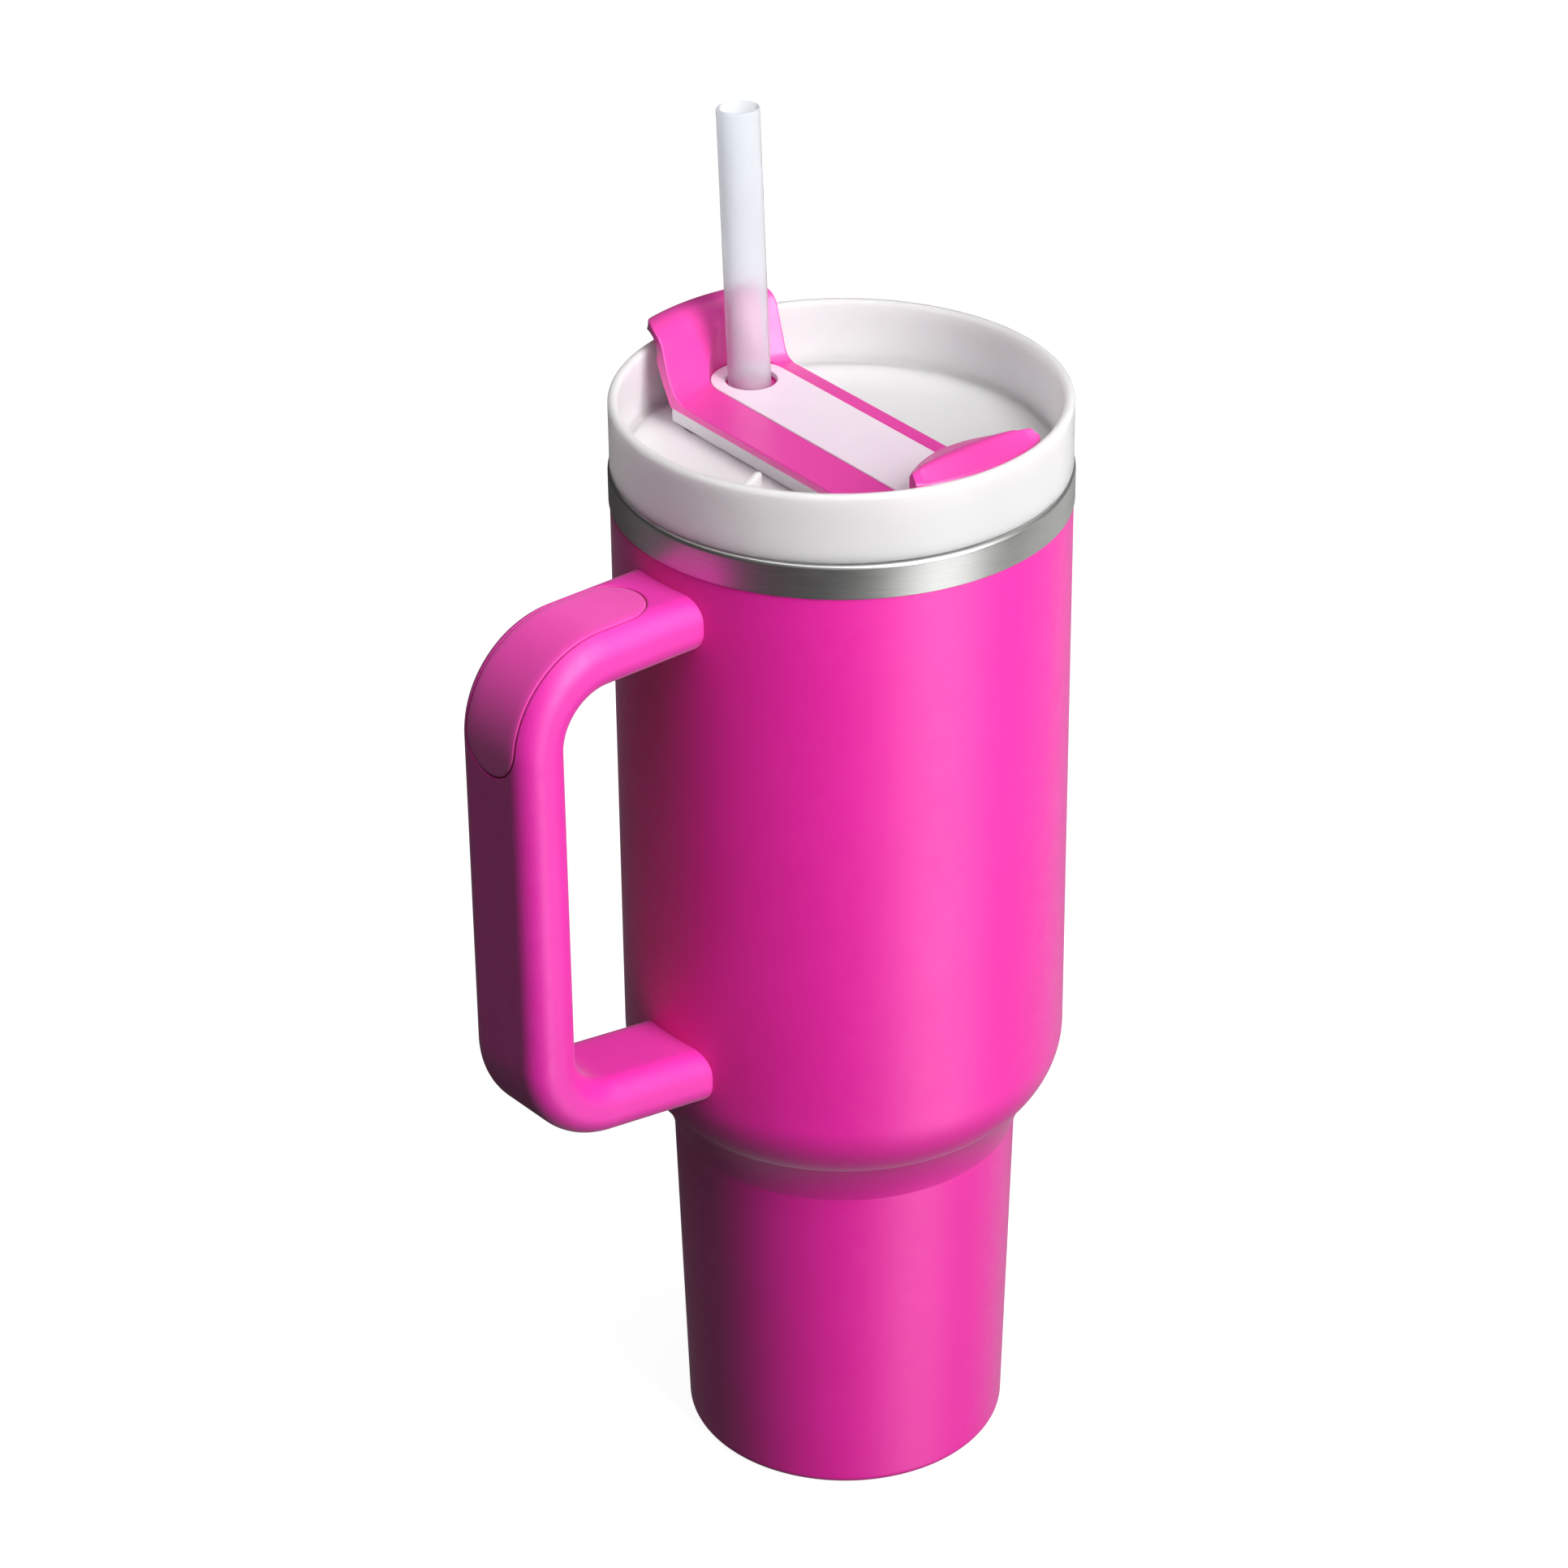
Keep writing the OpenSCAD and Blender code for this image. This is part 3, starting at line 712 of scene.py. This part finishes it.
def inlay_ring(grow, height):
    """Ring of points on the inlay's outline grown by an amount, at a height."""
    along, round_end = 72, 20
    half = INLAY_HALF + grow
    first, last = INLAY_HALF, INLAY_LEN - INLAY_HALF
    ring = []
    for k in range(along):
        ring.append(on_handle(first + (last - first) * k / along, -half, height))
    for k in range(round_end):
        a = -math.pi / 2 + math.pi * k / round_end
        ring.append(on_handle(last + half * math.cos(a), half * math.sin(a), height))
    for k in range(along):
        ring.append(on_handle(last + (first - last) * k / along, half, height))
    for k in range(round_end):
        a = math.pi / 2 + math.pi * k / round_end
        ring.append(on_handle(first + half * math.cos(a), half * math.sin(a), height))
    return ring


def inlay_block(name, rings):
    """Closed block from (grow, height) rings, its top and bottom meshed down to the middle line."""
    bm = bmesh.new()

    def towards_middle(grow, height):
        half = INLAY_HALF + grow
        shares = (0.82, 0.62, 0.4, 0.2, 1e-4)
        return [inlay_ring(half * share - INLAY_HALF, height) for share in shares]

    bottom = towards_middle(*rings[0])[::-1]
    top = towards_middle(*rings[-1])
    skin_into(bm, bottom + [inlay_ring(g, h) for g, h in rings] + top, caps=False)
    # the innermost rings fold on to the middle line, where both sides meet
    bmesh.ops.transform(bm, matrix=HANDLE_TURN, verts=bm.verts)
    bmesh.ops.remove_doubles(bm, verts=bm.verts, dist=4e-3)
    return finish_mesh(bm, name, 40.0)


FLARE = 0.3
flare_rings = [
    (INLAY_GROOVE + FLARE * (1 - math.cos(a)), -FLARE + FLARE * math.sin(a)) for a in QUARTER
]
grip = skin("handle_grip", handle_rings(), turn=HANDLE_TURN)
pocket = inlay_block(
    "inlay_pocket",
    [(INLAY_GROOVE, -INLAY_DEPTH)] + flare_rings + [(INLAY_GROOVE + FLARE + 0.05, 1.0)],
)
cut(grip, pocket, sharp=32.0)
dress(grip, HANDLE_PINK, "cup", ("handle_frame", "handle_low_arm"))

edge_rings = [(0.0, -INLAY_DEPTH + 0.05)] + [
    (-FLARE * (1 - math.cos(a)), -FLARE + FLARE * math.sin(a)) for a in QUARTER
]
inlay = inlay_block("handle_inlay", edge_rings)
dress(inlay, INLAY_PINK, "cup", ("grip_inlay",))


# ---------- lid ----------

# (r, z, radius): floor, ring, the gasket's groove and the skirt
lid_profile = [
    (0.0, FLOOR_Z, 0),
    (RING_IN_R, FLOOR_Z, 1.6),
    (RING_IN_R, RIM_Z, RING_T / 2 - 0.01),
    (LID_R, RIM_Z, RING_T / 2 - 0.01),
    (LID_R, RING_LOW, 0.45),
    (46.5, RING_LOW, 0.2),
    (46.5, GROOVE_HIGH, 0.2),
    (GROOVE_R, GROOVE_HIGH, 0.1),
    (GROOVE_R, GROOVE_LOW, 0.1),
    (45.8, GROOVE_LOW, 0.15),
    (45.8, 242.9, 0.15),
    (SKIRT_R, 242.9, 0.2),
    (SKIRT_R, SKIRT_Z, 0.5),
    (SKIRT_IN_R, SKIRT_Z, 0.5),
    (SKIRT_IN_R, FLOOR_LOW, 0.8),
    (0.0, FLOOR_LOW, 0),
]
lid = lathe("lid_ring_and_floor", lid_profile, 224, closed=False, sharp=45.0)


def slot_outline():
    """Kidney-shaped opening in the lid's floor, along the bar's direction."""
    low, high = SLOT_FROM, SLOT_TO
    end_r = SLOT_HALF - 0.01
    low_end = (SLOT_AT * math.cos(low), SLOT_AT * math.sin(low))
    high_end = (SLOT_AT * math.cos(high), SLOT_AT * math.sin(high))
    pts = arc(0, 0, SLOT_AT - SLOT_HALF, high, low, 24)
    pts += arc(*low_end, end_r, low + math.pi, low + TAU, 16)[1:-1]
    pts += arc(0, 0, SLOT_AT + SLOT_HALF, low, high, 24)
    pts += arc(*high_end, end_r, high, high + math.pi, 16)[1:-1]
    loop = [Vector(p[:2]) for p in pts]
    return loop if area_of(loop) > 0 else loop[::-1]


TOOL_LOW = 240.0
pin_hole_r = PIVOT_R + 0.05
slot_loop = slot_outline()
slot_rings = [
    [(p.x, p.y, TOOL_LOW) for p in slot_loop],
    [(p.x, p.y, FLOOR_Z - 0.4) for p in slot_loop],
    [(p.x, p.y, FLOOR_Z - 0.12) for p in inset(slot_loop, -0.12)],
    [(p.x, p.y, FLOOR_Z) for p in inset(slot_loop, -0.4)],
    [(p.x, p.y, FLOOR_Z + 1) for p in inset(slot_loop, -0.45)],
]
slot_tool = skin("slot_tool", slot_rings, turn=BAR_TURN)
pin_tool = lathe(
    "pin_tool",
    [(0, TOOL_LOW, 0), (pin_hole_r, TOOL_LOW, 0), (pin_hole_r, 251, 0), (0, 251, 0)],
    64,
    closed=False,
)
rib_loop = rounded(
    [
        (-RIB_HALF, RIB_IN_R, 0.75),
        (RIB_HALF, RIB_IN_R, 0.75),
        (RIB_HALF, RIB_OUT_R, 0),
        (-RIB_HALF, RIB_OUT_R, 0),
    ]
)
rib = skin(
    "rib_tool",
    plan_rings(rib_loop, FLOOR_Z - 0.6, RIB_TOP, 0.6),
    turn=Matrix.Rotation(BAR_ANGLE + RIB_ANGLE - math.pi / 2, 4, "Z"),
)
cut(lid, slot_tool, pin_tool, sharp=40.0)
cut(lid, rib, how="UNION", sharp=40.0)
dress(lid, LID_MILK, "lid", ("lid_body",))
lid_thread = thread("lid_thread", SKIRT_R - 0.1, 235.6, 0.85, 1)
dress(lid_thread, LID_MILK, "lid", ())


# ---------- cover ----------


def tab_profile():
    """Closed section of the bar, the finger tab and its hook: (r, z) points, anticlockwise."""
    inner_r = LIP_R - LIP_T
    end = -COVER_R + 0.07
    pts = [(end, COVER_UNDER, 0.7), (FOLD_R + TAB_T, COVER_UNDER, 0.7)]
    pts.append((LIP_C[0] - inner_r, HOOK_FOOT, 1.5))
    pts += arc(*LIP_C, inner_r, math.pi, LIP_END, 16)
    tip = (
        LIP_C[0] + (LIP_R - LIP_T / 2) * math.cos(LIP_END),
        LIP_C[1] + (LIP_R - LIP_T / 2) * math.sin(LIP_END),
    )
    pts += arc(*tip, LIP_T / 2, LIP_END - math.pi, LIP_END, 10)[1:-1]
    pts += arc(*LIP_C, LIP_R, LIP_END, LIP_START, 22)
    pts.append((FOLD_R - 0.2, COVER_TOP, 4.2))
    pts.append((end, COVER_TOP, 0.7))
    return rounded(pts, step=0.12)


def bar_limits(r, z):
    """How far the bar reaches to each side at a point of its section."""
    low, high = -NARROW, WIDE
    rise = max(0.0, min(1.0, (z - TAB_LOW) / TAB_RISE))
    high += TAB_BULGE * math.sin(math.pi * min(1.0, rise * 1.2)) - 0.5 * rise
    low -= 0.8 * rise
    # rounded corners of the hook, seen from above
    corner = HOOK_CORNER
    past = r - (LIP_C[0] + LIP_R - LIP_T / 2 - corner + 0.3)
    if z > HOOK_LOW and past > 0:
        cut_in = corner - math.sqrt(max(0.0, corner**2 - min(past, corner) ** 2))
        high -= cut_in
        low += cut_in
    return low, high


def bar_point(r, n, z):
    """Places a section point at a sideways distance n from the bar's middle line."""
    right, left = 36.0, -33.0

    def bow(radius):
        """Distance along the bar of a point n off its middle line, on a circle round the axis."""
        return math.copysign(math.sqrt(max(radius**2 - n**2, 0.0)), radius)

    if r >= right or r <= left:
        return (bow(r), n, z)
    t = (r - left) / (right - left)
    return (bow(left) * (1 - t) + bow(right) * t, n, z)


def bar_block(name, edge=0.5):
    """The bar with its tab: the side section repeated from one edge to the other."""
    base = tab_profile()
    # extra stations along the flat of the bar keep the quads short
    dense = []
    for i, p in enumerate(base):
        q = base[(i + 1) % len(base)]
        parts = max(1, math.ceil((q - p).length / 6.0))
        dense += [p.lerp(q, k / parts) for k in range(parts)]
    rings = []
    edges = [(edge * (1 - math.cos(a)), edge * (1 - math.sin(a))) for a in QUARTER]
    lateral = [(0, move, tight) for move, tight in edges]
    lateral += [(k / BAR_PARTS, 0.0, 0.0) for k in range(1, BAR_PARTS)]
    lateral += [(1, -move, tight) for move, tight in reversed(edges)]
    for share, move, tight in lateral:
        loop = inset(dense, tight) if tight > 0 else dense
        ring = []
        for p, q in zip(dense, loop):
            low, high = bar_limits(p.x, p.y)
            if share == 0:
                n = low + move
            elif share == 1:
                n = high + move
            else:
                n = low + edge + (high - low - 2 * edge) * share
            ring.append(bar_point(q.x, n, q.y))
        rings.append(ring)
    return skin(name, rings, sharp=40.0, turn=BAR_TURN, flat=dense)


def pad_block(name):
    """Thumb pad: sections across it from its inner edge over a soft ridge to the lid's ring."""
    facing = math.atan2(PAD_C[1], PAD_C[0])
    far = math.hypot(*PAD_C)
    half = math.acos((COVER_R**2 - PAD_R**2 + far**2) / (2 * far * COVER_R))
    parts = 48
    rings = []
    for k in range(parts + 1):
        turn = (half - 0.035) * math.sin(math.pi / 2 * (2 * k / parts - 1))
        along = far * math.cos(turn)
        inner = along - math.sqrt(along**2 - far**2 + PAD_R**2)
        # the ends are blunt
        end = max(0.0, 1 - abs(turn) / half)
        outer = COVER_R - 1.2 * max(0.0, 1 - end / 0.05) ** 2
        wide = outer - inner
        back = PAD_TOP - min(1.3, 0.16 * wide) - PAD_DROP
        front = PAD_TOP - min(1.5, 0.18 * wide) - PAD_DROP
        size = min(1.0, 0.3 * wide)
        pts = [(inner, COVER_UNDER + 0.6)]
        pts += [
            (inner + size * (1 - math.cos(a)), back - size * (1 - math.sin(a))) for a in QUARTER
        ]
        ridge = inner + 0.45 * wide
        # the ridge sinks a little where the pad is narrow
        ridge_z = PAD_TOP - (PAD_DROP if wide < PAD_FULL else 0.0)
        for share, drop in RIDGE:
            pts.append((ridge + share * wide, ridge_z - drop * min(1.0, wide / PAD_FULL)))
        pts += [
            (outer - size + size * math.sin(a), front - size + size * math.cos(a)) for a in QUARTER
        ]
        pts.append((outer, COVER_UNDER + 0.6))
        c, d = math.cos(facing + turn), math.sin(facing + turn)
        rings.append([(r * c, r * d, z) for r, z in pts])
    return skin(name, rings, sharp=40.0, turn=BAR_TURN)


def backing_block(name):
    """Block behind the tab's foot that closes the end of the insert's pocket."""
    near, out = BACKING_R
    a, b = math.asin(BACKING_HALF / near), math.asin(BACKING_HALF / out)
    pts = arc(0, 0, out, -b, b, 20) + arc(0, 0, near, a, -a, 20)
    loop = [Vector(p[:2]) for p in pts]
    return skin(name, plan_rings(loop, COVER_UNDER + 0.03, BACKING_TOP, 0.5), turn=BAR_TURN)


def insert_outline(grow):
    """Plan of the insert: a strip with one round end and one end that follows the pad."""
    half = INSERT_HALF + grow
    pts = arc(HOLE_AT, 0, half, -math.pi / 2, math.pi / 2, 36)
    reach = PAD_R - grow + 0.1
    ends = []
    for k in range(25):
        n = half - 2 * half * k / 24
        across = n - PAD_C[1]
        ends.append((PAD_C[0] + math.sqrt(reach**2 - across**2), n, 0))
    loop = [Vector(p[:2]) for p in pts + ends]
    return loop if area_of(loop) > 0 else loop[::-1]


def disc_tool(name, x, radius, low, high, flare=0.0):
    """Disc on the bar's middle line, flared towards its top, which goes on for 1 mm past high."""
    rings = []
    for z, r in (
        (low, radius),
        (high - flare, radius),
        (high - flare * 0.3, radius + flare * 0.3),
        (high, radius + flare),
        (high + 1, radius + flare),
    ):
        turns = [TAU * k / 64 for k in range(64)]
        rings.append([(x + r * math.cos(a), r * math.sin(a), z) for a in turns])
    return skin(name, rings, turn=BAR_TURN)


cover = bar_block("cover_bar")
cut(cover, pad_block("pad_tool"), backing_block("backing_tool"), how="UNION")
pocket_loop = insert_outline(0.12)
pocket_rings = [
    [(p.x, p.y, COVER_TOP - INSERT_T) for p in pocket_loop],
    [(p.x, p.y, COVER_TOP - 0.2) for p in pocket_loop],
    [(p.x, p.y, COVER_TOP) for p in inset(pocket_loop, -0.2)],
    [(p.x, p.y, COVER_TOP + 8.5) for p in inset(pocket_loop, -0.2)],
]
cut(
    cover,
    skin("pocket_tool", pocket_rings, turn=BAR_TURN),
    disc_tool("hole_tool", HOLE_AT, HOLE_R, 248.0, 259.0),
)
cut(
    cover,
    disc_tool("boss_tool", HOLE_AT, BOSS_R, BOSS_LOW, BAR_SOLE),
    disc_tool("hub_tool", 0.0, 9.0, 249.2, BAR_SOLE),
    how="UNION",
)
cut(
    cover,
    disc_tool("seat_tool", HOLE_AT, 6.95, 248.0, 252.3),
    disc_tool("bore_tool", 0.0, PIVOT_R + 0.02, 248.0, 251.5),
    sharp=34.0,
)
dress(cover, COVER_PINK, "cover", ("cover",))

insert = skin(
    "cover_insert_strip",
    plan_rings(insert_outline(0.0), COVER_TOP - INSERT_T, INSERT_TOP, 0.3),
    turn=BAR_TURN,
)
cut(
    insert,
    disc_tool("insert_hole", HOLE_AT, HOLE_R, 250.0, INSERT_TOP, 0.45),
    sharp=34.0,
)
dress(insert, INSERT_MILK, "cover", ("cover_insert",))


# ---------- straw ----------

above = (STRAW_TOP - COVER_TOP) / math.cos(STRAW_LEAN)
below = (COVER_TOP - STRAW_FOOT) / math.cos(STRAW_LEAN)
lip = STRAW_T / 2 - 0.02
straw = lathe(
    "straw_tube",
    [
        (STRAW_R - STRAW_T, -below, lip),
        (STRAW_R, -below, lip),
        (STRAW_R, above, lip),
        (STRAW_R - STRAW_T, above, lip),
    ],
    64,
)
straw.matrix_world = (
    BAR_TURN
    @ Matrix.Translation((STRAW_AT * MM, 0, COVER_TOP * MM))
    @ Matrix.Rotation(STRAW_LEAN, 4, "Y")
)
dress(straw, STRAW_MILK, "straw", ("straw",))


# ---------- CAD nodes that stay, with better materials ----------


for kept, look in (
    ("vacuum_seal_bead", DULL),
    ("getter_pellet", DULL),
    ("upper_bracket", DULL),
    ("lower_bracket", DULL),
    ("handle_screws", DULL),
    ("screw_plugs", HANDLE_PINK),
    ("lid_gasket", SILICONE),
    ("straw_grommet", SILICONE),
    ("cover_seal", SILICONE),
    ("pivot_pin", PIN_WHITE),
    ("pivot_o_ring", SILICONE),
):
    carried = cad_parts[kept].data.materials
    carried.clear()
    carried.append(look.mat)


# ---------- floor, lights and camera ----------

FLOOR_HALF = 30
FLOOR_DROP = -0.0002
floor_mesh = bpy.data.meshes.new("floor")
floor_mesh.from_pydata(
    [(x * FLOOR_HALF, y * FLOOR_HALF, FLOOR_DROP) for x, y in ((-1, -1), (1, -1), (1, 1), (-1, 1))],
    [],
    [(0, 1, 2, 3)],
)
floor = bpy.data.objects.new("floor", floor_mesh)
bpy.context.scene.collection.objects.link(floor)
floor_look = Nodes("studio_floor")
floor_look.set(
    Roughness=1.0,
    Specular_IOR_Level=0.0,
    Base_Color=(0.30, 0.30, 0.30, 1),
    Emission_Color=(1, 1, 1, 1),
    Emission_Strength=0.93,
)
floor_mesh.materials.append(floor_look.mat)
# the floor is a plain bright backdrop: it lights, mirrors and shades nothing
floor.visible_diffuse = False
floor.visible_glossy = False
floor.visible_shadow = False

# directions are given in degrees round the cup from the camera's side, positive to the right
CAMERA_AZ = 229.5
AIM = Vector((0, 0, 0.15))


def light(name, turn, height, distance, wide, high, power, glossy_only=False):
    """Soft rectangular light, aimed at the tumbler's middle; some only add reflections."""
    a = math.radians(CAMERA_AZ + turn)
    e = math.radians(height)
    place = AIM + distance * Vector(
        (math.cos(a) * math.cos(e), math.sin(a) * math.cos(e), math.sin(e))
    )
    data = bpy.data.lights.new(name, "AREA")
    data.shape = "RECTANGLE"
    data.size, data.size_y = wide, high
    data.energy = power
    obj = bpy.data.objects.new(name, data)
    bpy.context.scene.collection.objects.link(obj)
    obj.location = place
    obj.rotation_mode = "QUATERNION"
    obj.rotation_quaternion = (AIM - place).to_track_quat("-Z", "Y")
    obj.visible_diffuse = not glossy_only


light("key", 45.0, 30.0, 1.3, 0.6, 1.5, 24.5)
light("top", 30.0, 82.0, 1.2, 1.2, 1.2, 7.5)
light("low_key", 49.0, -28.0, 1.3, 0.75, 0.9, 4.9, glossy_only=True)
light("low_right", 122.0, -20.0, 1.3, 1.2, 1.2, 2.9, glossy_only=True)
light("low_left", -103.0, -20.0, 1.4, 0.65, 1.5, 0.35, glossy_only=True)

FILL = 0.055
world = bpy.data.worlds.new("studio")
bpy.context.scene.world = world
world.use_nodes = True
wt = world.node_tree
wt.nodes.clear()
w_out = wt.nodes.new("ShaderNodeOutputWorld")
w_mix = wt.nodes.new("ShaderNodeMixShader")
w_path = wt.nodes.new("ShaderNodeLightPath")
wt.links.new(w_path.outputs["Is Camera Ray"], w_mix.inputs[0])
# white where the camera sees it, and a weak even fill for everything else
for socket, strength in ((1, FILL), (2, 1.0)):
    w_light = wt.nodes.new("ShaderNodeBackground")
    w_light.inputs["Color"].default_value = (1, 1, 1, 1)
    w_light.inputs["Strength"].default_value = strength
    wt.links.new(w_light.outputs[0], w_mix.inputs[socket])
wt.links.new(w_mix.outputs[0], w_out.inputs[0])

bpy.context.scene.view_settings.view_transform = "Standard"
bpy.context.scene.view_settings.look = "None"

cam_data = bpy.data.cameras.new("camera")
cam_data.sensor_width = 36.0
cam_data.lens = 112.52
cam_data.clip_start, cam_data.clip_end = 0.05, 100.0
camera = bpy.data.objects.new("camera", cam_data)
bpy.context.scene.collection.objects.link(camera)
bpy.context.scene.camera = camera
CAMERA_AT = Vector((-0.6170, -0.7224, 0.7112))
CAMERA_ROLL = -0.0109
forward = Vector((0.5545, 0.6677, -0.4967)).normalized()
level = forward.cross(Vector((0, 0, 1))).normalized()
overhead = level.cross(forward)
right = level * math.cos(CAMERA_ROLL) + overhead * math.sin(CAMERA_ROLL)
up = right.cross(forward)
axes = Matrix((right, up, -forward)).transposed()
camera.matrix_world = Matrix.Translation(CAMERA_AT) @ axes.to_4x4()
